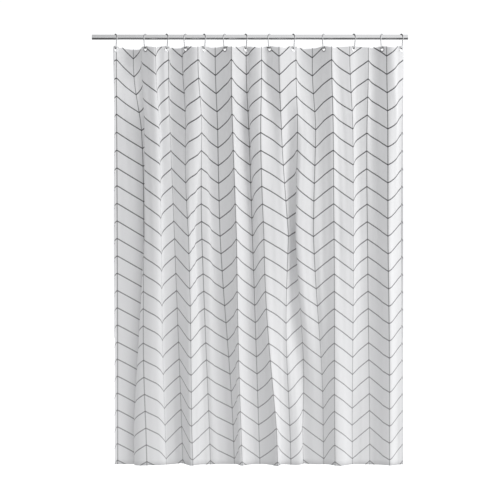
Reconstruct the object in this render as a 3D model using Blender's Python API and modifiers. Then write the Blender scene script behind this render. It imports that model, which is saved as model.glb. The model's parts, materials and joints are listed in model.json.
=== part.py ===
"""A shower curtain on a straight metal rod: thirteen wire hooks carry an eyeleted cloth in soft folds.

The origin is the middle of the rod's axis. +X runs along the rod, +Z is up and -Y is the side that
faces the room. Lengths are in metres and angles in radians.

One cloth hangs from all the eyelets. It is made here as one strip for each eyelet, from the top of
one fold to the top of the next, so that every strip can move with its own hook when the curtain is
drawn. The strips meet edge to edge with a hair's gap.
"""

import math

import bmesh
import bpy

# ---------------------------------------------------------------- driving dimensions
FIT_GAP = 0.0003  # between pieces that touch

ROD_DIAMETER = 0.022
ROD_WALL = 0.0012
ROD_PAST_FIRST_HOOK = 0.101  # bare rod from the first hook to the rod's left end
ROD_PAST_LAST_HOOK = 0.029

CLOTH_WIDTH = 1.80  # the hemmed cloth laid flat
CLOTH_HEIGHT = 1.80
CLOTH_THICKNESS = 0.0008

EYELET_FROM_SIDE = 0.018  # from the cloth's side edge to the first eyelet's centre
EYELET_FROM_TOP = 0.0125
EYELET_DIAMETER = 0.020
EYELET_BORE = 0.013
EYELET_METAL = 0.0006  # thickness of the pressed sheet
EYELET_CROWN = 0.0011  # how far the front ring stands off the cloth
EYELET_LIP = 0.0010  # how far the barrel's end is rolled outwards behind the washer
EYELET_YAW = math.radians(28)  # the cloth's heading at an eyelet, away from the rod's direction
EYELET_FLAT = 0.011  # half the flat patch of cloth that an eyelet clamps

HOOK_WIRE = 0.0040
HOOK_DROP = 0.0525  # from the rod's axis down to the eyelets' centres
HOOK_YAW = math.radians(26)
HOOK_SIDE_PLAY = 0.001  # between the bend and the rod's front and back
HOOK_FOOT_RADIUS = 0.008  # bend that passes through the eyelet, to the wire's centre
HOOK_FOOT_PLAY = 0.0014  # between the wire and the top of the eyelet's bore
HOOK_TAIL_ANGLE = math.radians(25)  # how far the upper bend goes below level behind the rod
HOOK_TOE_ANGLE = math.radians(20)  # how far the foot turns up past level behind the cloth

# How far the curtain is spread: the rod between two hooks, as a share of the cloth between their
# eyelets. The left half is bunched and the right half is drawn out.
SPREAD = (0.88, 0.615, 0.56, 0.54, 0.61, 0.605, 0.705, 0.69, 0.90, 0.875, 0.83, 0.56)

FOLD_STEPS = 8  # straight pieces from an eyelet's flat patch to the top of a fold
EDGE_CURL = math.radians(40)  # extra heading that the cloth gains from the last eyelet to its edge
ROUND_STEPS = 16
ROD_STEPS = 64

# ---------------------------------------------------------------- sizes that follow from them
EYELET_COUNT = len(SPREAD) + 1
CLOTH_PITCH = (CLOTH_WIDTH - 2 * EYELET_FROM_SIDE) / (EYELET_COUNT - 1)
ROD_LENGTH = ROD_PAST_FIRST_HOOK + sum(SPREAD) * CLOTH_PITCH + ROD_PAST_LAST_HOOK
BARREL_RADIUS = EYELET_BORE / 2 + EYELET_METAL

COLOURS = {
    # name: (base colour, roughness, metallic)
    "rod_steel": ((0.62, 0.62, 0.64), 0.28, 1.0),
    "hook_chrome": ((0.70, 0.70, 0.72), 0.12, 1.0),
    "eyelet_nickel": ((0.60, 0.60, 0.60), 0.25, 1.0),
    "cloth": ((0.86, 0.86, 0.87), 0.85, 0.0),
}


# ---------------------------------------------------------------- scene helpers
def clear_scene():
    for obj in list(bpy.data.objects):
        bpy.data.objects.remove(obj, do_unlink=True)


def new_collection(name):
    collection = bpy.data.collections.new(name)
    bpy.context.scene.collection.children.link(collection)
    return collection


def new_material(name):
    colour, roughness, metallic = COLOURS[name]
    material = bpy.data.materials.new(name)
    material.use_nodes = True
    shader = material.node_tree.nodes["Principled BSDF"]
    shader.inputs["Base Color"].default_value = (*colour, 1.0)
    shader.inputs["Roughness"].default_value = roughness
    shader.inputs["Metallic"].default_value = metallic
    return material


def place(name, data, collection, parent, location=(0, 0, 0), rotation=(0, 0, 0)):
    """A new object at a place in its parent's frame."""
    obj = bpy.data.objects.new(name, data)
    collection.objects.link(obj)
    obj.parent = parent
    obj.location = location
    obj.rotation_euler = rotation
    return obj


def pivot(name, collection, parent, location):
    """An empty on a joint's axis, which carries the pieces that move about it."""
    return place(name, None, collection, parent, location)


def turned_mesh(name, section, material):
    """A closed section of (radius, height) points, which runs down its outer side."""
    mesh = bpy.data.meshes.new(name)
    count = len(section)
    edges = [(i, (i + 1) % count) for i in range(count)]
    mesh.from_pydata([(radius, 0, height) for radius, height in section], edges, [])
    mesh.materials.append(material)
    return mesh


def spin(obj, steps):
    """Turns an object's section about its own Z axis."""
    screw = obj.modifiers.new("turned", "SCREW")
    screw.angle = math.tau
    screw.steps = screw.render_steps = steps
    screw.use_merge_vertices = True
    screw.merge_threshold = 0.00001
    screw.use_smooth_shade = True


# ---------------------------------------------------------------- how the cloth folds
def fold_side(swell):
    """Points (along, out) from an eyelet's centre to the top of the next fold.

    The cloth leaves the eyelet's flat patch at EYELET_YAW. Its heading then swings out by swell and
    comes back to zero half way to the next eyelet, where the other side of the fold mirrors it.
    """
    free = CLOTH_PITCH - 2 * EYELET_FLAT
    along = EYELET_FLAT * math.cos(EYELET_YAW)
    out = EYELET_FLAT * math.sin(EYELET_YAW)
    points = [(0.0, 0.0), (along, out)]
    step = free / 2 / FOLD_STEPS
    for i in range(FOLD_STEPS):
        share = (i + 0.5) / FOLD_STEPS / 2
        heading = EYELET_YAW * math.cos(math.pi * share) + swell * math.sin(math.tau * share)
        along += step * math.cos(heading)
        out += step * math.sin(heading)
        points.append((along, out))
    return points


def fold_for(spread):
    """The side of the fold whose two eyelets stand at this share of the cloth between them."""
    low, high = -EYELET_YAW, math.radians(130)
    for _ in range(50):
        swell = (low + high) / 2
        if 2 * fold_side(swell)[-1][0] > spread * CLOTH_PITCH:
            low = swell
        else:
            high = swell
    return fold_side(swell)


def edge_side():
    """Points (along, out) from the first or last eyelet's centre to the cloth's side edge."""
    along = EYELET_FLAT * math.cos(EYELET_YAW)
    out = EYELET_FLAT * math.sin(EYELET_YAW)
    points = [(0.0, 0.0), (along, out)]
    steps = 3
    step = (EYELET_FROM_SIDE - EYELET_FLAT) / steps
    for i in range(steps):
        heading = EYELET_YAW + EDGE_CURL * (i + 0.5) / steps
        along += step * math.cos(heading)
        out += step * math.sin(heading)
        points.append((along, out))
    return points


def trimmed(side):
    """The same side, short of its last point by half the gap between two strips."""
    *kept, before, last = side
    length = math.dist(before, last)
    share = 1 - FIT_GAP / 2 / length
    end = (before[0] + share * (last[0] - before[0]), before[1] + share * (last[1] - before[1]))
    return [*kept, before, end]


def strip_outline(left, right, way):
    """The strip's line seen from above, from left to right through its eyelet at (0, 0).

    way is +1 where the cloth runs back to the right of the eyelet, and -1 where it runs forward.
    """
    leftward = [(-along, -way * out) for along, out in reversed(left[1:])]
    rightward = [(along, way * out) for along, out in right]
    return leftward + rightward


# ---------------------------------------------------------------- pieces
def build_rod(collection, material):
    """A plain round tube, open at both ends and cut square."""
    outer = ROD_DIAMETER / 2
    inner = outer - ROD_WALL
    end = ROD_LENGTH / 2
    section = [(inner, end), (outer, end), (outer, -end), (inner, -end)]
    mesh = turned_mesh("curtain_rod", section, material)
    rod = place("curtain_rod", mesh, collection, None, rotation=(0, math.pi / 2, 0))
    spin(rod, ROD_STEPS)
    rod.modifiers["turned"].use_smooth_shade = False  # its ends are cut square


def arc(centre_height, radius, start, end, steps):
    """Points (back, height) round a bend, both angles measured up from level behind the rod."""
    points = []
    for i in range(steps + 1):
        angle = start + (end - start) * i / steps
        points.append((radius * math.cos(angle), centre_height + radius * math.sin(angle)))
    return points


def hook_route():
    """The wire's centre line (back, height): tail, over the rod, down the front, through the eyelet."""
    wire = HOOK_WIRE / 2
    top_radius = (ROD_DIAMETER / 2 + wire) / math.cos(HOOK_YAW) + HOOK_SIDE_PLAY
    top_centre = ROD_DIAMETER / 2 + FIT_GAP + wire - top_radius
    foot_bottom = EYELET_BORE / 2 - wire - HOOK_FOOT_PLAY - HOOK_DROP
    foot_centre = foot_bottom + HOOK_FOOT_RADIUS
    # the straight leg touches both bends, so it leans in by this angle
    lean = math.asin((top_radius - HOOK_FOOT_RADIUS) / (top_centre - foot_centre))
    leg = math.pi + lean
    over_rod = arc(top_centre, top_radius, -HOOK_TAIL_ANGLE, leg, 14)
    foot = arc(foot_centre, HOOK_FOOT_RADIUS, leg, math.tau + HOOK_TOE_ANGLE, 9)
    return over_rod + foot


def hook_curve(material):
    curve = bpy.data.curves.new("curtain_hook", "CURVE")
    curve.dimensions = "3D"
    curve.bevel_depth = HOOK_WIRE / 2
    curve.bevel_resolution = 1
    curve.use_fill_caps = True
    route = hook_route()
    spline = curve.splines.new("POLY")
    spline.points.add(len(route) - 1)
    for point, (back, height) in zip(spline.points, route):
        point.co = (0, back, height, 1)
    spline.use_smooth = True
    curve.materials.append(material)
    return curve


def eyelet_meshes(material):
    """The front ring with its barrel, and the washer. Height 0 is the middle of the cloth."""
    bore = EYELET_BORE / 2
    rim = EYELET_DIAMETER / 2
    under_ring = CLOTH_THICKNESS / 2 + FIT_GAP
    washer_bottom = -under_ring - EYELET_METAL
    lip_top = washer_bottom - FIT_GAP
    lip_bottom = lip_top - EYELET_METAL
    front = [
        (bore, under_ring + EYELET_CROWN / 2),
        ((bore + rim) / 2, under_ring + EYELET_CROWN),
        (rim, under_ring + EYELET_METAL / 2),
        (rim, under_ring),
        (BARREL_RADIUS, under_ring),
        (BARREL_RADIUS, lip_top),
        (BARREL_RADIUS + EYELET_LIP, lip_top),
        (bore, lip_bottom),
    ]
    hole = BARREL_RADIUS + FIT_GAP
    edge = rim - EYELET_METAL
    back = [(hole, -under_ring), (edge, -under_ring), (edge, washer_bottom), (hole, washer_bottom)]
    return turned_mesh("eyelet_front", front, material), turned_mesh("eyelet_back", back, material)


def strip_mesh(name, outline, material):
    """An open sheet along the outline, centred on its eyelet's height, which a Solidify thickens."""
    mesh = bpy.data.meshes.new(name)
    top = EYELET_FROM_TOP
    cloth = bmesh.new()
    lower = [cloth.verts.new((x, y, top - CLOTH_HEIGHT)) for x, y in outline]
    edges = [cloth.edges.new(pair) for pair in zip(lower, lower[1:])]
    grown = bmesh.ops.extrude_edge_only(cloth, edges=edges)["geom"]
    raised = [item for item in grown if isinstance(item, bmesh.types.BMVert)]
    bmesh.ops.translate(cloth, verts=raised, vec=(0, 0, CLOTH_HEIGHT))
    for face in cloth.faces:
        face.smooth = True
    cloth.to_mesh(mesh)
    cloth.free()
    mesh.materials.append(material)
    return mesh


def punch_mesh():
    """The cutter of an eyelet's hole, long enough to pass right through the cloth."""
    mesh = bpy.data.meshes.new("eyelet_punch")
    punch = bmesh.new()
    hole = BARREL_RADIUS + FIT_GAP
    bmesh.ops.create_cone(
        punch, cap_ends=True, segments=ROUND_STEPS, radius1=hole, radius2=hole, depth=0.01
    )
    punch.to_mesh(mesh)
    punch.free()
    return mesh


def build_strip(name, outline, collection, cutters, parent, heading, material, punch_data):
    strip = place(name, strip_mesh(name, outline, material), collection, parent)
    thick = strip.modifiers.new("cloth_thickness", "SOLIDIFY")
    thick.thickness = CLOTH_THICKNESS
    thick.offset = 0
    thick.use_even_offset = True
    punch = place(f"punch_{name}", punch_data, cutters, parent, rotation=(math.pi / 2, 0, heading))
    punch.hide_render = True
    punch.display_type = "WIRE"
    hole = strip.modifiers.new("eyelet_hole", "BOOLEAN")
    hole.operation = "DIFFERENCE"
    hole.object = punch


def build_curtain(collection, cutters, materials):
    swing = pivot("swing_axis", collection, None, (0, 0, 0))
    hook_data = hook_curve(materials["hook_chrome"])
    front_data, back_data = eyelet_meshes(materials["eyelet_nickel"])
    punch_data = punch_mesh()
    sides = [edge_side()]
    sides += [trimmed(fold_for(spread)) for spread in SPREAD]
    sides += [edge_side()]
    along = -ROD_LENGTH / 2 + ROD_PAST_FIRST_HOOK
    for i in range(EYELET_COUNT):
        number = f"{i + 1:02d}"
        way = 1 if i % 2 == 0 else -1
        heading = way * EYELET_YAW
        slide = pivot(f"slide_axis_{number}", collection, swing, (along, 0, 0))
        place(
            f"curtain_hook_{number}", hook_data, collection, slide, rotation=(0, 0, way * HOOK_YAW)
        )
        turn = pivot(f"turn_axis_{number}", collection, slide, (0, 0, -HOOK_DROP))
        facing = (math.pi / 2, 0, heading)
        for data in (front_data, back_data):
            ring = place(f"{data.name}_{number}", data, collection, turn, rotation=facing)
            spin(ring, ROUND_STEPS)
        outline = strip_outline(sides[i], sides[i + 1], way)
        build_strip(
            f"fabric_pleat_{number}",
            outline,
            collection,
            cutters,
            turn,
            heading,
            materials["cloth"],
            punch_data,
        )
        if i < len(SPREAD):
            along += SPREAD[i] * CLOTH_PITCH


def main():
    clear_scene()
    collection = new_collection("shower_curtain")
    cutters = new_collection("cutters")
    materials = {name: new_material(name) for name in COLOURS}
    build_rod(collection, materials["rod_steel"])
    build_curtain(collection, cutters, materials)


main()
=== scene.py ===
"""Looks of a printed shower curtain that hangs in soft folds from wire hooks on a metal rod.

Everything is in metres in the CAD frame: the origin is the middle of the rod's axis, +X runs along
the rod, +Z is up and the camera looks along +Y. On the cloth, u runs from the left side edge to the
right one and v runs down from the top edge, both measured on the flat cloth.
"""

import json
import math

import bmesh
import bpy
import numpy as np
from mathutils import Matrix, Vector


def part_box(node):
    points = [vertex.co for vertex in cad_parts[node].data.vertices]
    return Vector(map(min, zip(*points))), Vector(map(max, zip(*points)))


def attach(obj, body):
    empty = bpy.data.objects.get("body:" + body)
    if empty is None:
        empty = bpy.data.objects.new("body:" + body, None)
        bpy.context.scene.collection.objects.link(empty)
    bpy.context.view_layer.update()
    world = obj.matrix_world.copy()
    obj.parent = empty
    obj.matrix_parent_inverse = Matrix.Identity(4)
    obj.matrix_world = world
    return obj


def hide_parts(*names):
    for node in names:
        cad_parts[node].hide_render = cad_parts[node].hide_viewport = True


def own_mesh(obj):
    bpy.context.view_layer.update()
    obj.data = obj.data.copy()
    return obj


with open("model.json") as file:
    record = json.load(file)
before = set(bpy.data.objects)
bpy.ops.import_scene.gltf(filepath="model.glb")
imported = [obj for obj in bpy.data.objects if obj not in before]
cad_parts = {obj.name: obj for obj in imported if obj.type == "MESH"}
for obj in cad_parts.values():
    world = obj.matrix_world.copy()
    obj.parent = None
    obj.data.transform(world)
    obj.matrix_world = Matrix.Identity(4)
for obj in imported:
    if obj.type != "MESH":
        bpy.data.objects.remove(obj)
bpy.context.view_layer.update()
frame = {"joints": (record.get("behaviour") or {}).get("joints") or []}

# ---------------------------------------------------------------- the frame's sizes
EYELET_X = [j["pos_m"][0] for j in frame["joints"] if j["name"].startswith("pleat_")]
EYELET_Z = next(j["pos_m"][2] for j in frame["joints"] if j["name"].startswith("pleat_"))
NUMBERS = [f"{i + 1:02d}" for i in range(len(EYELET_X))]
CLOTH_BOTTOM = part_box("fabric_pleat_01")[0][2]
CLOTH_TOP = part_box("fabric_pleat_01")[1][2]
ROD_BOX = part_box("curtain_rod")
WAYS = [1 if i % 2 == 0 else -1 for i in range(len(EYELET_X))]  # +1 and -1 by turns: the side turned to

# ---------------------------------------------------------------- the cloth, laid flat
CLOTH_WIDTH = 1.80
CLOTH_HEIGHT = CLOTH_TOP - CLOTH_BOTTOM
CLOTH_THICKNESS = 0.0005
EYELET_YAW = math.radians(28)
EYELET_FLAT = 0.010  # half the flat patch that an eyelet clamps
EYELET_REACH = 2.2 * EYELET_FLAT  # how far from an eyelet its heading is felt
# How far along the flat cloth each eyelet is.
EYELET_U = (
    0.030, 0.270, 0.413, 0.551, 0.661, 0.766, 0.907, 1.056, 1.187, 1.359, 1.515, 1.666, 1.772,
)

# ---------------------------------------------------------------- how it hangs
# Along every row the bends are deepened or opened, all by the same share, until the row is as wide as
# the gap between the hanging sides. The row is then moved sideways to hang below the eyelets, and its
# widest sway is taken out, so it ends up somewhat shorter than the flat cloth. The folds of the
# bunched left half lean a little to the right as they fall.
LEAN = 0.060  # at the bottom
LEAN_FROM = 0.20  # the u where folds lean fully
LEAN_UNTIL = 0.85  # and where the lean starts to die out
LEVELS = (0.08, 0.81, 1.65)  # the v of the three levels at which the bends are given
LEFT_OVERHANG = 0.004  # how far the left side edge hangs outside the first eyelet's centre
RIGHT_OVERHANG = 0.008
SIDE_X = (EYELET_X[0] - LEFT_OVERHANG, EYELET_X[-1] + RIGHT_OVERHANG)
SHARE_LIMITS = (0.5, 1.6)  # the least and most that the bends are scaled by
SHARE_HALVINGS = 24
FINE_POINTS = 3600  # along a row while its folds are worked out
# The folds: for each bend, the column it is at and the cloth's heading there in degrees, at the
# three levels. A heading of 0 faces the camera, and a positive one goes back to the right.
BENDS = (
    ((-0.35, 40), (-0.35, 95), (-0.35, 5)),
    ((0.0, 35), (-0.08, 15), (0.0, 0)),
    ((0.6, 12), (0.5, -5), (0.35, -10)),
    ((1.0, -20), (0.9, -15), (0.52, -22)),
    ((1.4, -40), (1.15, -60), (0.65, -50)),
    ((1.7, -66), (1.45, -110), (0.82, -100)),
    ((2.0, -74), (1.9, -115), (1.05, -108)),
    ((2.25, -50), (2.16, -50), (1.35, -78)),
    ((2.6, -28), (2.45, -28), (1.8, -30)),
    ((2.85, 10), (2.75, 20), (2.3, 10)),
    ((3.05, 80), (2.95, 72), (2.6, 30)),
    ((3.3, 64), (3.2, 70), (2.97, 48)),
    ((3.75, 15), (3.5, 35), (3.2, 22)),
    ((4.08, 78), (3.98, 12), (3.9, 10)),
    ((4.4, 15), (4.1, -8), (4.05, -58)),
    ((4.95, -5), (4.7, -14), (4.85, -58)),
    ((5.1, -80), (5.0, 0), (5.0, 0)),
    ((5.35, -64), (5.15, 30), (5.1, 30)),
    ((5.7, -12), (5.4, 60), (5.4, 18)),
    ((6.0, 20), (5.6, 88), (5.6, 12)),
    ((6.12, 70), (5.8, 25), (5.9, 5)),
    ((6.2, 60), (6.2, 25), (6.1, 3)),
    ((6.45, 25), (6.5, 80), (6.5, 0)),
    ((6.95, -15), (6.75, 15), (6.9, -8)),
    ((7.3, -28), (7.1, -8), (7.1, -80)),
    ((7.6, -38), (7.55, -40), (7.5, -72)),
    ((7.95, -52), (7.95, -58), (7.9, -40)),
    ((8.1, 52), (8.1, 50), (8.1, 32)),
    ((8.5, 30), (8.5, 28), (8.5, 8)),
    ((8.95, 20), (8.93, 15), (8.95, -10)),
    ((9.08, -70), (9.1, -70), (9.2, -22)),
    ((9.35, -45), (9.5, -66), (9.5, -35)),
    ((9.9, -5), (9.9, -45), (9.93, -52)),
    ((10.1, 48), (10.1, -18), (10.08, 70)),
    ((10.5, 5), (10.5, -8), (10.4, 56)),
    ((10.95, -22), (10.85, 18), (10.9, 22)),
    ((11.1, 32), (11.1, 38), (11.15, 26)),
    ((11.5, 31), (11.28, 0), (11.5, 48)),
    ((11.8, 30), (11.45, -75), (11.8, 66)),
    ((11.95, 32), (11.72, -125), (11.93, 80)),
    ((12.1, 65), (12.0, -112), (12.05, 10)),
    ((12.45, 20), (12.25, -35), (12.3, -8)),
    ((12.95, -8), (12.6, -8), (12.9, -15)),
    ((13.1, -22), (13.1, -20), (13.1, -52)),
    ((13.92, -24), (13.92, -22), (13.9, -50)),
    ((14.1, 54), (14.1, 10), (14.1, 0)),
    ((14.5, 20), (14.5, 12), (14.55, 44)),
    ((14.93, 10), (14.9, 25), (14.93, 38)),
    ((15.1, 60), (15.1, 62), (15.1, 24)),
    ((15.5, 22), (15.5, 44), (15.5, 12)),
    ((15.93, 8), (15.93, 5), (15.93, 5)),
    ((16.1, 50), (16.1, -5), (16.1, -10)),
    ((16.5, 0), (16.5, -28), (16.5, -16)),
    ((16.95, -18), (16.95, -42), (16.95, -14)),
    ((17.12, -5), (17.12, 58), (17.1, 58)),
    ((17.5, 52), (17.5, 60), (17.5, 60)),
    ((17.9, 42), (17.92, 52), (18.0, 55)),
    ((18.15, 60), (18.15, 10), (18.15, 60)),
)
BEND_SOFTNESS = 0.016  # how much cloth a bend takes up
SWAY_LENGTH = 0.30  # depth averaged over this much cloth is taken out
FALL_START = 0.024  # the v where the shape held by the eyelets starts to relax
FALL_END = 0.36  # and where none of it is left
SAG = 0.0045  # how far the top edge drops midway along a free span of SAG_SPAN
SAG_SPAN = 0.15
SAG_ROUNDNESS = 1.5
SAG_LEFT_AT_HEM = 0.5  # the share of the drop that the bottom edge still has
FRONT_DROP = 0.06  # how much lower the bottom edge hangs for each metre further forward
# Soft creases: their depth, the cloth from one to the next, how far they wander sideways in shares
# of that, how fast the wander goes in radians for each metre down, where in its turn it starts, and
# how far the creases are shifted.
RIPPLES = (
    (0.0009, 0.071, 0.35, 2.1, 0.5, 0.0),
    (0.0006, 0.043, 0.45, 1.7, 2.0, 0.3),
    (0.0003, 0.027, -0.5, 2.6, 0.0, 0.0),
)
RIPPLE_START = 0.03  # the v where creases begin
RIPPLE_FULL = 0.25

SHEET_COLUMNS = 420
SHEET_ROWS = 150
TOP_ROW = 0.004  # the height of a row near the top edge

# ---------------------------------------------------------------- hems, turned to the back
HEM_DEPTH = 0.026  # at the bottom
HEM_SEAM = 0.022  # from the bottom edge to its stitches
HEM_ROWS = 7  # the top hem, in rows of the cloth's grid
HEM_COLUMNS = 3  # the side hems, in columns
HEM_THICKNESS = 0.0003
HEM_BEHIND = 0.0005  # between the middles of the cloth and of the turned-back strip
STITCH_PITCH = 0.0034
STITCH_LENGTH = 0.0027
THREAD_RADIUS = 0.00022
STITCH_STATIONS = (0.0, 0.15, 0.85, 1.0)  # shares of a stitch's length
STITCH_LIFTS = (0.1, 0.8, 0.8, 0.1)  # how far its middle is off the cloth there, in radii

# ---------------------------------------------------------------- the print
COLUMN_WIDTH = 0.0973
FIRST_COLUMN = 0.034  # from the left side edge to the first column line
CHEVRON_DROP = 0.064
REPEATS = 12.7  # zigzags in a metre near the first peak
REPEATS_GAINED = 0.36  # how much the average from the first peak grows in each metre further down
CHEVRON_PITCH = 0.0743  # a typical one, which turns repeats into a distance for the ink's width
FIRST_PEAK = 0.0565  # v of the first peak, on the first column line
CHEVRON_INK_WIDTH = 0.0045
COLUMN_INK_WIDTH = 0.0036
INK_EDGE = 0.0004  # half the soft edge of a line
INK_SHARE_AT_HEM = 0.64  # the ink's strength at the bottom edge, as a share of the full strength: the print is lighter towards the bottom


# ---------------------------------------------------------------- shape of the cloth
def smooth_step(value, start, end):
    t = np.clip((value - start) / (end - start), 0, 1)
    return t * t * (3 - 2 * t)


def integrate(heading, u):
    """Positions along a line whose heading is given at each u."""
    middle = (heading[1:] + heading[:-1]) / 2
    step = np.diff(u)
    along = np.concatenate([[0], np.cumsum(step * np.cos(middle))])
    out = np.concatenate([[0], np.cumsum(step * np.sin(middle))])
    return along, out


def softened(values, u, length):
    """A moving average over a length of cloth, evened out at the two sides."""
    count = max(3, int(length / (u[1] - u[0])) | 1)
    window = np.hanning(count + 2)[1:-1]
    padded = np.pad(values, count // 2, mode="reflect", reflect_type="odd")
    return np.convolve(padded, window / window.sum(), mode="valid")


def at_level(v, three_values):
    return np.interp(v, LEVELS, three_values)


def fold_heading(v, u):
    """The cloth's heading in radians at one v, from the bends."""
    column = [at_level(v, [level[0] for level in bend]) for bend in BENDS]
    degrees = [at_level(v, [level[1] for level in bend]) for bend in BENDS]
    bend_u = FIRST_COLUMN + COLUMN_WIDTH * np.array(column)
    return softened(np.interp(u, bend_u, np.radians(degrees)), u, BEND_SOFTNESS)


def fitted(values, u, anchor_u, anchor_values):
    """values moved by an amount that runs evenly between anchors, to meet them all."""
    return values + np.interp(u, anchor_u, anchor_values - np.interp(anchor_u, u, values))


def hanging_line(v, u):
    """(x, y) at one v: bends scaled to span the gap, then moved to hang below the eyelets."""
    heading = fold_heading(v, u)
    shallow, deep = SHARE_LIMITS
    for _ in range(SHARE_HALVINGS):
        share = (shallow + deep) / 2
        along, out = integrate(share * heading, u)
        if along[-1] > SIDE_X[1] - SIDE_X[0]:
            shallow = share
        else:
            deep = share
    hold_u = np.array([0, *EYELET_U, CLOTH_WIDTH])
    hold_x = np.array([SIDE_X[0], *EYELET_X, SIDE_X[1]])
    leaning = smooth_step(hold_u, 0, LEAN_FROM) * (1 - smooth_step(hold_u, LEAN_UNTIL, CLOTH_WIDTH))
    hold_x += LEAN * v / CLOTH_HEIGHT * leaning
    return fitted(along, u, hold_u, hold_x), out - softened(out, u, SWAY_LENGTH)


def top_line(u):
    """(x, y) along the top edge, which passes through each eyelet at the eyelet's heading."""
    heading = fold_heading(LEVELS[0], u)
    hold_u, hold_x = [0], [SIDE_X[0]]
    for way, eyelet_u, eyelet_x in zip(WAYS, EYELET_U, EYELET_X):
        held = 1 - smooth_step(abs(u - eyelet_u), EYELET_FLAT, EYELET_REACH)
        heading = held * way * EYELET_YAW + (1 - held) * heading
        for side in (-EYELET_FLAT, EYELET_FLAT):
            hold_u.append(eyelet_u + side)
            hold_x.append(eyelet_x + side * math.cos(EYELET_YAW))
    hold_u.append(CLOTH_WIDTH)
    hold_x.append(SIDE_X[1])
    along, out = integrate(heading, u)
    ends = np.tile([-EYELET_FLAT, EYELET_FLAT], len(EYELET_U)) * math.sin(EYELET_YAW)
    hold_y = np.array([0, *(np.repeat(WAYS, 2) * ends), 0])
    hold_y[0] = hold_y[1] + np.interp(0, u, out) - np.interp(hold_u[1], u, out)
    hold_y[-1] = hold_y[-2] + np.interp(CLOTH_WIDTH, u, out) - np.interp(hold_u[-2], u, out)
    return fitted(along, u, hold_u, np.array(hold_x)), fitted(out, u, hold_u, hold_y)


def ripple(u, v):
    """Small soft creases that run mostly down the cloth, in metres of depth."""
    waves = np.zeros_like(u)
    for depth, spacing, wander, wander_rate, wander_start, start in RIPPLES:
        place = u / spacing + wander * np.sin(wander_rate * v + wander_start) + start
        waves += depth * np.sin(math.tau * place)
    strong_in_patches = 0.6 + 0.4 * np.sin(math.tau * (0.7 * u + 0.45 * v))
    return smooth_step(v, RIPPLE_START, RIPPLE_FULL) * waves * strong_in_patches


def sag(u):
    """How far the cloth drops between the eyelets, which hold it up."""
    drop = np.zeros_like(u)
    for start, end in zip(EYELET_U, EYELET_U[1:]):
        start, end = start + EYELET_FLAT, end - EYELET_FLAT
        t = np.clip((u - start) / (end - start), 0, 1)
        drop += SAG * (end - start) / SAG_SPAN * (4 * t * (1 - t)) ** SAG_ROUNDNESS
    return drop


def cloth_surface():
    """The flat u and v of the cloth's grid, and its hung points and unit normals to the front."""
    u = np.linspace(0, CLOTH_WIDTH, SHEET_COLUMNS)
    fine_u = np.linspace(0, CLOTH_WIDTH, FINE_POINTS)
    near_top = np.arange(SHEET_ROWS // 3) * TOP_ROW
    below_start, below_end = len(near_top) * TOP_ROW, CLOTH_HEIGHT - HEM_DEPTH
    below = np.linspace(below_start, below_end, SHEET_ROWS - len(near_top))
    v = np.concatenate([near_top, below, [CLOTH_HEIGHT - HEM_SEAM, CLOTH_HEIGHT]])
    top_x, top_y = top_line(fine_u)
    points = np.empty((len(v), len(u), 3))
    for row, depth in enumerate(v):
        low_x, low_y = hanging_line(depth, fine_u)
        share = smooth_step(depth, FALL_START, FALL_END)
        x = (1 - share) * top_x + share * low_x
        y = (1 - share) * top_y + share * low_y + ripple(fine_u, depth)
        points[row, :, 0] = np.interp(u, fine_u, x)
        points[row, :, 1] = np.interp(u, fine_u, y)
        lower = sag(u) * (1 - (1 - SAG_LEFT_AT_HEM) * depth / CLOTH_HEIGHT)
        lower -= FRONT_DROP * depth / CLOTH_HEIGHT * points[row, :, 1]
        points[row, :, 2] = CLOTH_TOP - depth - lower
    normals = np.cross(np.gradient(points, v, axis=0), np.gradient(points, u, axis=1))
    return u, v, points, normals / np.linalg.norm(normals, axis=-1, keepdims=True)


# ---------------------------------------------------------------- mesh helpers
def link(name, data):
    obj = bpy.data.objects.new(name, data)
    bpy.context.scene.collection.objects.link(obj)
    return obj


def grid_mesh(name, u, v, points, materials):
    """A quad grid that faces the front, with (u, v) in metres as its UV map."""
    rows, columns = len(v), len(u)
    index = np.arange(rows * columns).reshape(rows, columns)
    quads = np.stack([index[1:, :-1], index[1:, 1:], index[:-1, 1:], index[:-1, :-1]], axis=-1)
    quads = quads.reshape(-1, 4)
    mesh = bpy.data.meshes.new(name)
    mesh.from_pydata(points.reshape(-1, 3).tolist(), [], quads.tolist())
    layer = mesh.uv_layers.new(name="cloth")
    flat = np.stack(np.meshgrid(u, v), axis=-1).reshape(-1, 2)
    layer.data.foreach_set("uv", flat[quads.ravel()].ravel())
    mesh.polygons.foreach_set("use_smooth", [True] * len(quads))
    for material in materials:
        mesh.materials.append(material)
    return link(name, mesh)


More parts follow.
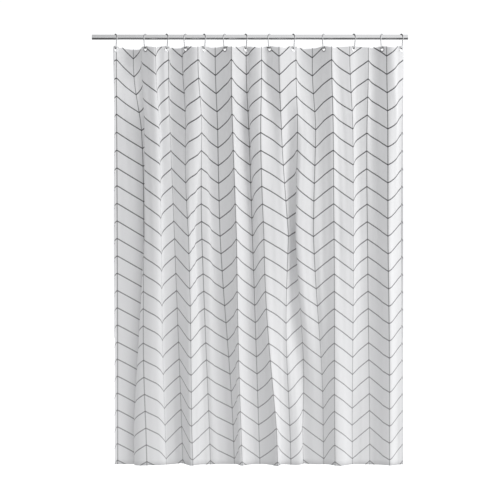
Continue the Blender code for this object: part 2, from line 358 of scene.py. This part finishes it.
# ---------------------------------------------------------------- material helpers
class Nodes:
    """Builds the node tree of a material or of the world, one line for each node."""

    def __init__(self, owner):
        owner.use_nodes = True
        self.material = owner
        self.tree = owner.node_tree
        self.shader = self.tree.nodes.get("Principled BSDF")

    @classmethod
    def named(cls, name):
        return cls(bpy.data.materials.new(name))

    def add(self, kind, inputs=(), **settings):
        node = self.tree.nodes.new(kind)
        for key, value in settings.items():
            setattr(node, key, value)
        for socket, value in dict(inputs).items():
            self.put(node.inputs[socket], value)
        return node

    def put(self, socket, value):
        if isinstance(value, bpy.types.NodeSocket):
            self.tree.links.new(value, socket)
        else:
            socket.default_value = value

    def maths(self, operation, *values):
        node = self.add("ShaderNodeMath", operation=operation)
        for socket, value in zip(node.inputs, values):
            self.put(socket, value)
        return node.outputs[0]

    def ramp(self, value, low, high, to_low=0.0, to_high=1.0):
        """A smooth step of value from low to high."""
        settings = {"Value": value, "From Min": low, "From Max": high}
        settings |= {"To Min": to_low, "To Max": to_high}
        node = self.add("ShaderNodeMapRange", settings, interpolation_type="SMOOTHSTEP")
        return node.outputs["Result"]

    def mix(self, share, first, second):
        node = self.add("ShaderNodeMix", data_type="RGBA")
        self.put(node.inputs["Factor"], share)
        for socket, value in zip([s for s in node.inputs if s.type == "RGBA"], (first, second)):
            self.put(socket, value)
        return next(s for s in node.outputs if s.type == "RGBA")

    def noise(self, vector, scale, detail=2.0):
        settings = {"Vector": vector, "Scale": scale, "Detail": detail}
        return self.add("ShaderNodeTexNoise", settings).outputs["Fac"]

    def bump(self, height, strength, distance):
        settings = {"Height": height, "Strength": strength, "Distance": distance}
        self.put(self.shader.inputs["Normal"], self.add("ShaderNodeBump", settings).outputs[0])

    def set(self, **values):
        for name, value in values.items():
            self.put(self.shader.inputs[name.replace("_", " ")], value)
        return self.material


def grey(value, tint=0.0):
    """A linear grey, a little bluer for a positive tint."""
    return (value, value, value + tint, 1.0)


def chevron_ink(nodes, u, v):
    """Masks (0 to 1) of the printed zigzag lines and of the straight column lines."""
    column = nodes.maths("DIVIDE", nodes.maths("SUBTRACT", u, FIRST_COLUMN), COLUMN_WIDTH)
    zigzag = nodes.maths("PINGPONG", column, 1.0)
    fallen = nodes.maths("MULTIPLY", zigzag, CHEVRON_DROP)
    height = nodes.maths("SUBTRACT", nodes.maths("SUBTRACT", v, FIRST_PEAK), fallen)
    average = nodes.maths("MULTIPLY_ADD", height, REPEATS_GAINED, REPEATS)
    repeats = nodes.maths("MULTIPLY", height, average)
    nearest = nodes.maths("PINGPONG", repeats, 0.5)
    lean = math.cos(math.atan(CHEVRON_DROP / COLUMN_WIDTH))
    off_chevron = nodes.maths("MULTIPLY", nearest, CHEVRON_PITCH * lean)
    off_column = nodes.maths("MULTIPLY", nodes.maths("PINGPONG", column, 0.5), COLUMN_WIDTH)
    masks = []
    for distance, width in ((off_chevron, CHEVRON_INK_WIDTH), (off_column, COLUMN_INK_WIDTH)):
        masks.append(nodes.ramp(distance, width / 2 + INK_EDGE, width / 2 - INK_EDGE))
    return masks


def weave_height(nodes, u, v, thread):
    """Plain weave: threads cross over and under each other."""
    across = nodes.maths("SINE", nodes.maths("MULTIPLY", u, math.pi / thread))
    down = nodes.maths("SINE", nodes.maths("MULTIPLY", v, math.pi / thread))
    return nodes.maths("MULTIPLY", across, down)


def cloth_material(name, ink_share):
    """Off-white plain-woven polyester with printed lines. ink_share is how strongly they show."""
    nodes = Nodes.named(name)
    uv = nodes.add("ShaderNodeUVMap", uv_map="cloth").outputs[0]
    split = nodes.add("ShaderNodeSeparateXYZ", {"Vector": uv})
    u, v = split.outputs["X"], split.outputs["Y"]
    chevrons, columns = chevron_ink(nodes, u, v)
    mottle = nodes.noise(uv, scale=260.0, detail=3.0)
    worn = nodes.ramp(mottle, low=0.25, high=0.75, to_low=0.82, to_high=1.0)
    stretched = nodes.add("ShaderNodeMapping", {"Vector": uv, "Scale": (900, 40, 1)}).outputs[0]
    slub = nodes.noise(stretched, scale=1.0)
    broad = nodes.noise(uv, scale=3.0)
    tone = nodes.mix(broad, grey(0.79, 0.006), grey(0.85, 0.006))
    tone = nodes.mix(nodes.maths("MULTIPLY", slub, 0.10), tone, grey(0.62, 0.01))
    # The ink's strength: worn away at random, and lighter towards the bottom.
    ink_lighter_down = nodes.ramp(v, low=0.1, high=CLOTH_HEIGHT, to_low=1.0, to_high=INK_SHARE_AT_HEM)
    left = nodes.maths("MULTIPLY", worn, ink_lighter_down)
    column_share = nodes.maths("MULTIPLY", nodes.maths("MULTIPLY", columns, left), 0.86 * ink_share)
    inked = nodes.mix(column_share, tone, grey(0.07, 0.006))
    chevron_share = nodes.maths("MULTIPLY", nodes.maths("MULTIPLY", chevrons, left), ink_share)
    inked = nodes.mix(chevron_share, inked, grey(0.020, 0.004))
    nodes.put(nodes.shader.inputs["Base Color"], inked)
    weave = weave_height(nodes, u, v, thread=0.0007)
    height = nodes.maths("ADD", weave, nodes.maths("MULTIPLY", slub, 0.8))
    nodes.bump(height, strength=0.25, distance=0.00025)
    roughness = nodes.ramp(slub, low=0.2, high=0.8, to_low=0.68, to_high=0.80)
    nodes.set(Roughness=roughness, Specular_IOR_Level=0.3)
    return nodes.set(Sheen_Weight=0.25, Sheen_Roughness=0.5)


def thread_material():
    nodes = Nodes.named("sewing_thread")
    place = nodes.add("ShaderNodeTexCoord").outputs["Object"]
    twist = nodes.noise(place, scale=2200.0, detail=1.0)
    nodes.bump(twist, strength=0.4, distance=0.0002)
    tone = nodes.mix(twist, grey(0.66), grey(0.80))
    return nodes.set(Base_Color=tone, Roughness=0.6, Sheen_Weight=0.2)


def metal_material(name, tone, roughness, grain_scale, grain_share):
    """Metal with faint smudges and fine grain, drawn out along an axis with a small grain_scale."""
    nodes = Nodes.named(name)
    place = nodes.add("ShaderNodeTexCoord").outputs["Object"]
    drawn = nodes.add("ShaderNodeMapping", {"Vector": place, "Scale": grain_scale}).outputs[0]
    grain = nodes.noise(drawn, scale=1.0, detail=3.0)
    smudge = nodes.noise(place, scale=18.0, detail=3.0)
    mixed = nodes.maths("ADD", nodes.maths("MULTIPLY", smudge, 0.08), roughness)
    rough = nodes.maths("ADD", mixed, nodes.maths("MULTIPLY", grain, grain_share))
    colour = nodes.mix(smudge, grey(tone * 0.94), grey(tone, 0.008))
    nodes.bump(grain, strength=0.03, distance=0.00005)
    return nodes.set(Base_Color=colour, Metallic=1.0, Roughness=rough)


# ---------------------------------------------------------------- cloth pieces
def follow_curtain(piece):
    """Every part of the cloth swings with the first hook and is gathered towards it when drawn."""
    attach(piece, "hook_01")
    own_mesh(piece)


def finish_modifiers(piece):
    """Makes the modifiers' result the piece's own mesh."""
    graph = bpy.context.evaluated_depsgraph_get()
    evaluated = piece.evaluated_get(graph)
    mesh = bpy.data.meshes.new_from_object(evaluated)
    piece.modifiers.clear()
    piece.data = mesh


def thicken_and_pierce(piece, thickness, punch):
    thick = piece.modifiers.new("thickness", "SOLIDIFY")
    thick.thickness = thickness
    thick.offset = 0
    thick.material_offset = 1
    holes = piece.modifiers.new("holes", "BOOLEAN")
    holes.object = punch
    holes.operation = "DIFFERENCE"
    holes.solver = "EXACT"
    finish_modifiers(piece)


def build_punch():
    """A row of round bars at the eyelets, wider than their barrels."""
    mesh = bmesh.new()
    for way, x in zip(WAYS, EYELET_X):
        turn = Matrix.Rotation(way * EYELET_YAW, 4, "Z") @ Matrix.Rotation(math.pi / 2, 4, "X")
        bmesh.ops.create_cone(
            mesh, cap_ends=True, segments=HOLE_SIDES, radius1=HOLE_RADIUS, radius2=HOLE_RADIUS,
            depth=PUNCH_LENGTH, matrix=Matrix.Translation((x, 0, EYELET_Z)) @ turn,
        )
    data = bpy.data.meshes.new("punch")
    mesh.to_mesh(data)
    mesh.free()
    return link("punch", data)


def stitches(line, normals, along):
    """Vertices and faces of a row of short thread stitches on a line of the cloth."""
    starts = np.arange(along[0] + STITCH_PITCH, along[-1] - STITCH_PITCH, STITCH_PITCH)
    stations = starts[:, None] + STITCH_LENGTH * np.array(STITCH_STATIONS)
    centre = np.stack([np.interp(stations, along, line[:, k]) for k in range(3)], axis=-1)
    out = np.stack([np.interp(stations, along, normals[:, k]) for k in range(3)], axis=-1)
    out /= np.linalg.norm(out, axis=-1, keepdims=True)
    way = centre[:, 3:4] - centre[:, 0:1]
    side = np.cross(out, way / np.linalg.norm(way, axis=-1, keepdims=True))
    lift = THREAD_RADIUS * np.array(STITCH_LIFTS)[:, None]
    middle = centre + out * (CLOTH_THICKNESS / 2 + lift)
    around = ((1, 0), (0, 1), (-1, 0), (0, -1))
    corners = [middle + THREAD_RADIUS * (a * out + b * side) for a, b in around]
    vertices = np.stack(corners, axis=2).reshape(-1, 3)
    faces = [(3, 2, 1, 0), (12, 13, 14, 15)]
    for ring in range(3):
        for corner in range(4):
            here, following = 4 * ring + corner, 4 * ring + (corner + 1) % 4
            faces.append((here, following, following + 4, here + 4))
    first_vertex = np.arange(len(starts))[:, None, None] * len(around) * len(STITCH_STATIONS)
    return vertices, (first_vertex + np.array(faces)).reshape(-1, 4)


def build_stitching(u, v, points, normals, thread):
    """The seams: one along each hem, about 4 mm inside its fold-over's edge."""
    top, bottom = HEM_ROWS - 1, len(v) - 2
    seams = [(row, slice(None), u) for row in (top, bottom)]
    down = slice(top, bottom + 1)
    seams += [(down, column, v[down]) for column in (HEM_COLUMNS - 1, -HEM_COLUMNS)]
    all_vertices, all_faces, count = [], [], 0
    for rows, columns, along in seams:
        vertices, faces = stitches(points[rows, columns], normals[rows, columns], along)
        all_vertices.append(vertices)
        all_faces.append(faces + count)
        count += len(vertices)
    mesh = bpy.data.meshes.new("hem_stitches")
    mesh.from_pydata(np.concatenate(all_vertices).tolist(), [], np.concatenate(all_faces).tolist())
    mesh.polygons.foreach_set("use_smooth", [True] * len(mesh.polygons))
    mesh.materials.append(thread)
    return link("hem_stitches", mesh)


def build_cloth(face, back, thread):
    """The cloth, its hems and its seams. Returns the cloth and the list of the others."""
    u, v, points, normals = cloth_surface()
    punch = build_punch()
    cloth = grid_mesh("curtain_cloth", u, v, points, [face, back])
    thicken_and_pierce(cloth, CLOTH_THICKNESS, punch)
    strips = {
        "top": (slice(0, HEM_ROWS + 1), slice(None)),
        "bottom": (slice(-3, None), slice(None)),
        "left": (slice(HEM_ROWS, -2), slice(0, HEM_COLUMNS + 1)),
        "right": (slice(HEM_ROWS, -2), slice(-HEM_COLUMNS - 1, None)),
    }
    sewn = []
    for side, (rows, columns) in strips.items():
        turned_back = points[rows, columns] - HEM_BEHIND * normals[rows, columns]
        hem = grid_mesh(f"hem_{side}", u[columns], v[rows], turned_back, [back, back])
        thicken_and_pierce(hem, HEM_THICKNESS, punch)
        sewn.append(hem)
    bpy.data.objects.remove(punch)
    sewn.append(build_stitching(u, v, points, normals, thread))
    for piece in (cloth, *sewn):
        follow_curtain(piece)
        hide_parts(*[f"fabric_pleat_{number}" for number in NUMBERS])
    return cloth, sewn


# ---------------------------------------------------------------- hooks, eyelets and rod
# These sizes are the CAD's own, apart from the rod's chamfer and the hole in the cloth.
ROD_RADIUS = (ROD_BOX[1][2] - ROD_BOX[0][2]) / 2
ROD_WALL = 0.0012
ROD_CHAMFER = 0.0003
HOOK_WIRE = 0.0040
HOOK_YAW = math.radians(26)
HOOK_SIDE_PLAY = 0.001  # between the bend and the rod's front and back
HOOK_FOOT_RADIUS = 0.008  # of the bend through the eyelet, to the wire's centre
HOOK_FOOT_PLAY = 0.0014  # between the wire and the top of the eyelet's bore
HOOK_TAIL_ANGLE = math.radians(25)  # how far the upper bend goes below level behind the rod
HOOK_TOE_ANGLE = math.radians(20)  # how far the foot turns up past level behind the cloth
FIT_GAP = 0.0003
EYELET_BORE = 0.013
EYELET_RIM = 0.010  # radius
EYELET_METAL = 0.0006
EYELET_CROWN = 0.0011  # how far the ring stands up
EYELET_LIP = 0.0010  # how far the barrel's end is rolled out
CAD_CLOTH_THICKNESS = 0.0008
HOLE_COVER = 0.0004
HOLE_RADIUS = EYELET_RIM - EYELET_METAL - HOLE_COVER  # at rest both halves cover the hole's edge
PUNCH_LENGTH = 0.008

HOLE_SIDES = 32
WIRE_SIDES = 16
OVER_ROD_STEPS = 48
FOOT_STEPS = 36
DOME_STEPS = 5
CROWN_STEPS = 12
EYELET_STEPS = 48
ROD_STEPS = 96


def arc(centre_height, radius, start, end, steps):
    """Points (back, height) round a bend, both angles measured up from level behind the rod."""
    angles = [start + (end - start) * i / steps for i in range(steps + 1)]
    return [(radius * math.cos(t), centre_height + radius * math.sin(t)) for t in angles]


def hook_route():
    """The wire's centre line (back, height): tail, over the rod, down the front and the foot."""
    wire = HOOK_WIRE / 2
    top_radius = (ROD_RADIUS + wire) / math.cos(HOOK_YAW) + HOOK_SIDE_PLAY
    top_centre = ROD_RADIUS + FIT_GAP + wire - top_radius
    foot_centre = EYELET_Z + EYELET_BORE / 2 - wire - HOOK_FOOT_PLAY + HOOK_FOOT_RADIUS
    lean = math.asin((top_radius - HOOK_FOOT_RADIUS) / (top_centre - foot_centre))
    leg = math.pi + lean
    over_rod = arc(top_centre, top_radius, -HOOK_TAIL_ANGLE, leg, OVER_ROD_STEPS)
    foot = arc(foot_centre, HOOK_FOOT_RADIUS, leg, math.tau + HOOK_TOE_ANGLE, FOOT_STEPS)
    return over_rod, foot


def wire_mesh(name, points, radius, sides, material):
    """A round wire along points in the YZ plane, with domed ends."""
    tangents = []
    for i in range(len(points)):
        before = points[max(i - 1, 0)]
        after = points[min(i + 1, len(points) - 1)]
        tangents.append(Vector((0, after[0] - before[0], after[1] - before[1])).normalized())
    mesh = bmesh.new()
    loops = []

    def ring(centre, tangent, size):
        side = Vector((1, 0, 0))
        up = tangent.cross(side)
        loop = []
        for corner in range(sides):
            angle = math.tau * corner / sides
            outward = math.cos(angle) * side + math.sin(angle) * up
            loop.append(mesh.verts.new(centre + size * outward))
        loops.append(loop)

    start, end = Vector((0, *points[0])), Vector((0, *points[-1]))
    for i in range(1, DOME_STEPS):
        angle = math.pi / 2 * i / DOME_STEPS
        ring(start - tangents[0] * radius * math.cos(angle), tangents[0], radius * math.sin(angle))
    for point, tangent in zip(points, tangents):
        ring(Vector((0, *point)), tangent, radius)
    for i in range(DOME_STEPS - 1, 0, -1):
        angle = math.pi / 2 * i / DOME_STEPS
        ring(end + tangents[-1] * radius * math.cos(angle), tangents[-1], radius * math.sin(angle))
    for first, second in zip(loops, loops[1:]):
        for here in range(sides):
            following = (here + 1) % sides
            mesh.faces.new((first[here], first[following], second[following], second[here]))
    tips = [mesh.verts.new(start - tangents[0] * radius), mesh.verts.new(end + tangents[-1] * radius)]
    for here in range(sides):
        following = (here + 1) % sides
        mesh.faces.new((tips[0], loops[0][following], loops[0][here]))
        mesh.faces.new((tips[1], loops[-1][here], loops[-1][following]))
    bmesh.ops.recalc_face_normals(mesh, faces=mesh.faces)
    data = bpy.data.meshes.new(name)
    for face in mesh.faces:
        face.smooth = True
    mesh.to_mesh(data)
    mesh.free()
    data.materials.append(material)
    return data


def turned(name, section, steps, material):
    """A section of (radius, height) points turned about Z."""
    shape = bmesh.new()
    rings = []
    for step in range(steps):
        turn = math.tau * step / steps
        ring = [(r * math.cos(turn), r * math.sin(turn), height) for r, height in section]
        rings.append([shape.verts.new(point) for point in ring])
    count = len(section)
    for step in range(steps):
        first, second = rings[step], rings[(step + 1) % steps]
        for here in range(count):
            following = (here + 1) % count
            shape.faces.new((first[here], first[following], second[following], second[here]))
    bmesh.ops.recalc_face_normals(shape, faces=shape.faces)
    for face in shape.faces:
        face.smooth = True
    mesh = bpy.data.meshes.new(name)
    shape.to_mesh(mesh)
    shape.free()
    mesh.materials.append(material)
    return mesh


def eyelet_sections():
    """Rounded sections (radius, height) of the front ring and the washer. Height 0 is mid-cloth."""
    bore = EYELET_BORE / 2
    barrel = bore + EYELET_METAL
    under = CAD_CLOTH_THICKNESS / 2 + FIT_GAP
    washer_bottom = -under - EYELET_METAL
    lip_top = washer_bottom - FIT_GAP
    lip_bottom = lip_top - EYELET_METAL
    middle = (bore + EYELET_RIM) / 2
    half = (EYELET_RIM - bore) / 2
    front = []
    for i in range(CROWN_STEPS + 1):
        angle = math.pi * i / CROWN_STEPS
        front.append((middle - half * math.cos(angle), under + EYELET_CROWN * math.sin(angle) ** 0.7))
    front[0] = (bore, under)
    front += [(barrel, under), (barrel, lip_top), (barrel + EYELET_LIP * 0.8, lip_top)]
    front += [(barrel + EYELET_LIP, lip_top - EYELET_METAL * 0.4)]
    front += [(barrel + EYELET_LIP * 0.6, lip_bottom)]
    front += [(bore + EYELET_METAL * 0.5, lip_bottom), (bore, lip_top)]
    hole = barrel + FIT_GAP
    edge = EYELET_RIM - EYELET_METAL
    round_off = EYELET_METAL * 0.3
    back = [(hole, -under), (edge - round_off, -under), (edge, -under - round_off)]
    back += [(edge, washer_bottom + round_off), (edge - round_off, washer_bottom), (hole, washer_bottom)]
    return front, back


def build_hardware(chrome, nickel, steel):
    over_rod, foot = hook_route()
    hook_mesh = wire_mesh("hook_wire", over_rod + foot, HOOK_WIRE / 2, WIRE_SIDES, chrome)
    front_section, back_section = eyelet_sections()
    front_mesh = turned("eyelet_ring", front_section, EYELET_STEPS, nickel)
    back_mesh = turned("eyelet_washer", back_section, EYELET_STEPS, nickel)
    for way, x, number in zip(WAYS, EYELET_X, NUMBERS):
        hook = link(f"hook_{number}_wire", hook_mesh)
        hook.location = (x, 0, 0)
        hook.rotation_euler = (0, 0, way * HOOK_YAW)
        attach(hook, f"hook_{number}")
        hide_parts(f"curtain_hook_{number}")
        for side, mesh in (("front", front_mesh), ("back", back_mesh)):
            ring = link(f"eyelet_{number}_{side}", mesh)
            ring.location = (x, 0, EYELET_Z)
            ring.rotation_euler = (math.pi / 2, 0, way * EYELET_YAW)
            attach(ring, f"pleat_{number}")
            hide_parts(f"eyelet_{side}_{number}")
    build_rod(steel)


def build_rod(steel):
    half = (ROD_BOX[1][0] - ROD_BOX[0][0]) / 2
    chamfer = ROD_CHAMFER
    inner = ROD_RADIUS - ROD_WALL
    section = [
        (inner, half - chamfer),
        (inner + chamfer, half),
        (ROD_RADIUS - chamfer, half),
        (ROD_RADIUS, half - chamfer),
        (ROD_RADIUS, chamfer - half),
        (ROD_RADIUS - chamfer, -half),
        (inner + chamfer, -half),
        (inner, chamfer - half),
    ]
    rod = link("rod_tube", turned("rod_tube", section, ROD_STEPS, steel))
    rod.rotation_euler = (0, math.pi / 2, 0)
    rod.data.set_sharp_from_angle(angle=math.radians(30))
    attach(rod, "rod")
    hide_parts("curtain_rod")


# ---------------------------------------------------------------- stage, light and camera
MIDDLE_HEIGHT = -0.9163
VIEW_HEIGHT = 2.153  # how much the picture shows, top to bottom, at the rod
CAMERA_DISTANCE = 8.0
FLOOR_Z = CLOTH_BOTTOM - 0.16
SENSOR_WIDTH = 36  # millimetres
FLOOR_SIZE = 30
SOFT_LEFT = 0.65  # the studio's light on cloth and floor from the left
SOFT_RIGHT = 0.82
SOFT_BELOW = 0.8  # the share of it that is left from below
SEEN_WHITE = 1.05  # the studio as the camera sees it
STUDIO_COLOUR = (0.985, 0.99, 1.0, 1)
KEY_POWER = 108
KEY_PLACE = (4.8, -2.3, -0.5)
KEY_SIZE = (2.4, 3.4)
FLOOR_POWER = 3.2
FLOOR_LIGHT_ANGLE = math.radians(10)


def build_stage():
    nodes = Nodes.named("pale_floor")
    place = nodes.add("ShaderNodeTexCoord").outputs["Object"]
    speck = nodes.noise(place, scale=6.0, detail=4.0)
    nodes.set(Base_Color=nodes.mix(speck, grey(0.88), grey(0.90)), Roughness=0.9)
    bpy.ops.mesh.primitive_plane_add(size=FLOOR_SIZE, location=(0, 0, FLOOR_Z))
    floor = bpy.context.object
    floor.name = "floor"
    floor.data.materials.append(nodes.material)
    floor.visible_diffuse = floor.visible_glossy = False


def area_light(name, location, target, size, power):
    light = bpy.data.lights.new(name, "AREA")
    light.shape = "RECTANGLE"
    light.size, light.size_y = size
    light.energy = power
    obj = link(name, light)
    obj.location = location
    aim = Vector(target) - Vector(location)
    obj.rotation_euler = aim.to_track_quat("-Z", "Y").to_euler()


def build_world():
    """A white studio. Cloth is lit softly from the right, and metal mirrors a darker left and floor."""
    world = bpy.data.worlds.new("studio")
    bpy.context.scene.world = world
    nodes = Nodes(world)
    place = nodes.add("ShaderNodeTexCoord").outputs["Generated"]
    way = nodes.add("ShaderNodeSeparateXYZ", {"Vector": place})
    rays = nodes.add("ShaderNodeLightPath").outputs
    right, back, up = (way.outputs[axis] for axis in "XYZ")

    soft = nodes.ramp(right, low=-0.9, high=0.9, to_low=SOFT_LEFT, to_high=SOFT_RIGHT)
    below = nodes.ramp(up, low=-0.25, high=-0.75, to_low=1.0, to_high=SOFT_BELOW)
    soft = nodes.maths("MULTIPLY", soft, below)

    dark_left = nodes.ramp(right, low=-0.30, high=0.05, to_low=0.12, to_high=1.0)
    bright_right = nodes.ramp(right, low=0.25, high=0.7, to_low=0.0, to_high=0.9)
    near_side = nodes.ramp(back, low=0.95, high=0.1, to_low=0.5, to_high=1.0)
    floor = nodes.maths("MULTIPLY", nodes.ramp(up, low=-0.48, high=-0.60), near_side)
    dark_floor = nodes.ramp(floor, low=0.0, high=1.0, to_low=1.0, to_high=0.15)
    ceiling = nodes.ramp(up, low=0.2, high=0.7, to_low=1.0, to_high=0.92)
    mirrored = nodes.maths("ADD", dark_left, bright_right)
    mirrored = nodes.maths("MULTIPLY", mirrored, dark_floor)
    mirrored = nodes.maths("MULTIPLY", mirrored, ceiling)

    both = nodes.add("ShaderNodeMix", data_type="FLOAT")
    for socket, value in zip(both.inputs, (rays["Is Glossy Ray"], None, soft, mirrored)):
        if value is not None:
            nodes.put(socket, value)
    seen = nodes.maths("MULTIPLY", rays["Is Camera Ray"], SEEN_WHITE)
    strength = nodes.maths("MAXIMUM", both.outputs[0], seen)
    background = nodes.tree.nodes["Background"]
    nodes.put(background.inputs["Color"], STUDIO_COLOUR)
    nodes.put(background.inputs["Strength"], strength)


def build_lights():
    middle = (0, 0, MIDDLE_HEIGHT)
    area_light("key_light", KEY_PLACE, middle, KEY_SIZE, KEY_POWER)
    sun = bpy.data.lights.new("floor_light", "SUN")
    sun.energy = FLOOR_POWER
    sun.angle = FLOOR_LIGHT_ANGLE
    link("floor_light", sun).visible_glossy = False
    build_world()
    bpy.context.scene.view_settings.view_transform = "Standard"


def build_camera():
    camera = bpy.data.cameras.new("camera")
    camera.sensor_width = SENSOR_WIDTH
    camera.lens = SENSOR_WIDTH * CAMERA_DISTANCE / VIEW_HEIGHT
    camera.clip_end = 100
    obj = link("camera", camera)
    obj.location = (0, -CAMERA_DISTANCE, MIDDLE_HEIGHT)
    obj.rotation_euler = (math.pi / 2, 0, 0)
    bpy.context.scene.camera = obj


def main():
    face = cloth_material("printed_cloth", 1.0)
    back = cloth_material("cloth_back", 0.45)
    cloth, sewn = build_cloth(face, back, thread_material())
    chrome = metal_material("bright_chrome", 0.40, 0.10, (60, 60, 60), 0.05)
    nickel = metal_material("pressed_nickel", 0.50, 0.20, (300, 300, 300), 0.08)
    steel = metal_material("polished_steel", 0.80, 0.12, (4, 300, 300), 0.05)
    build_hardware(chrome, nickel, steel)
    build_stage()
    build_lights()
    build_camera()


main()
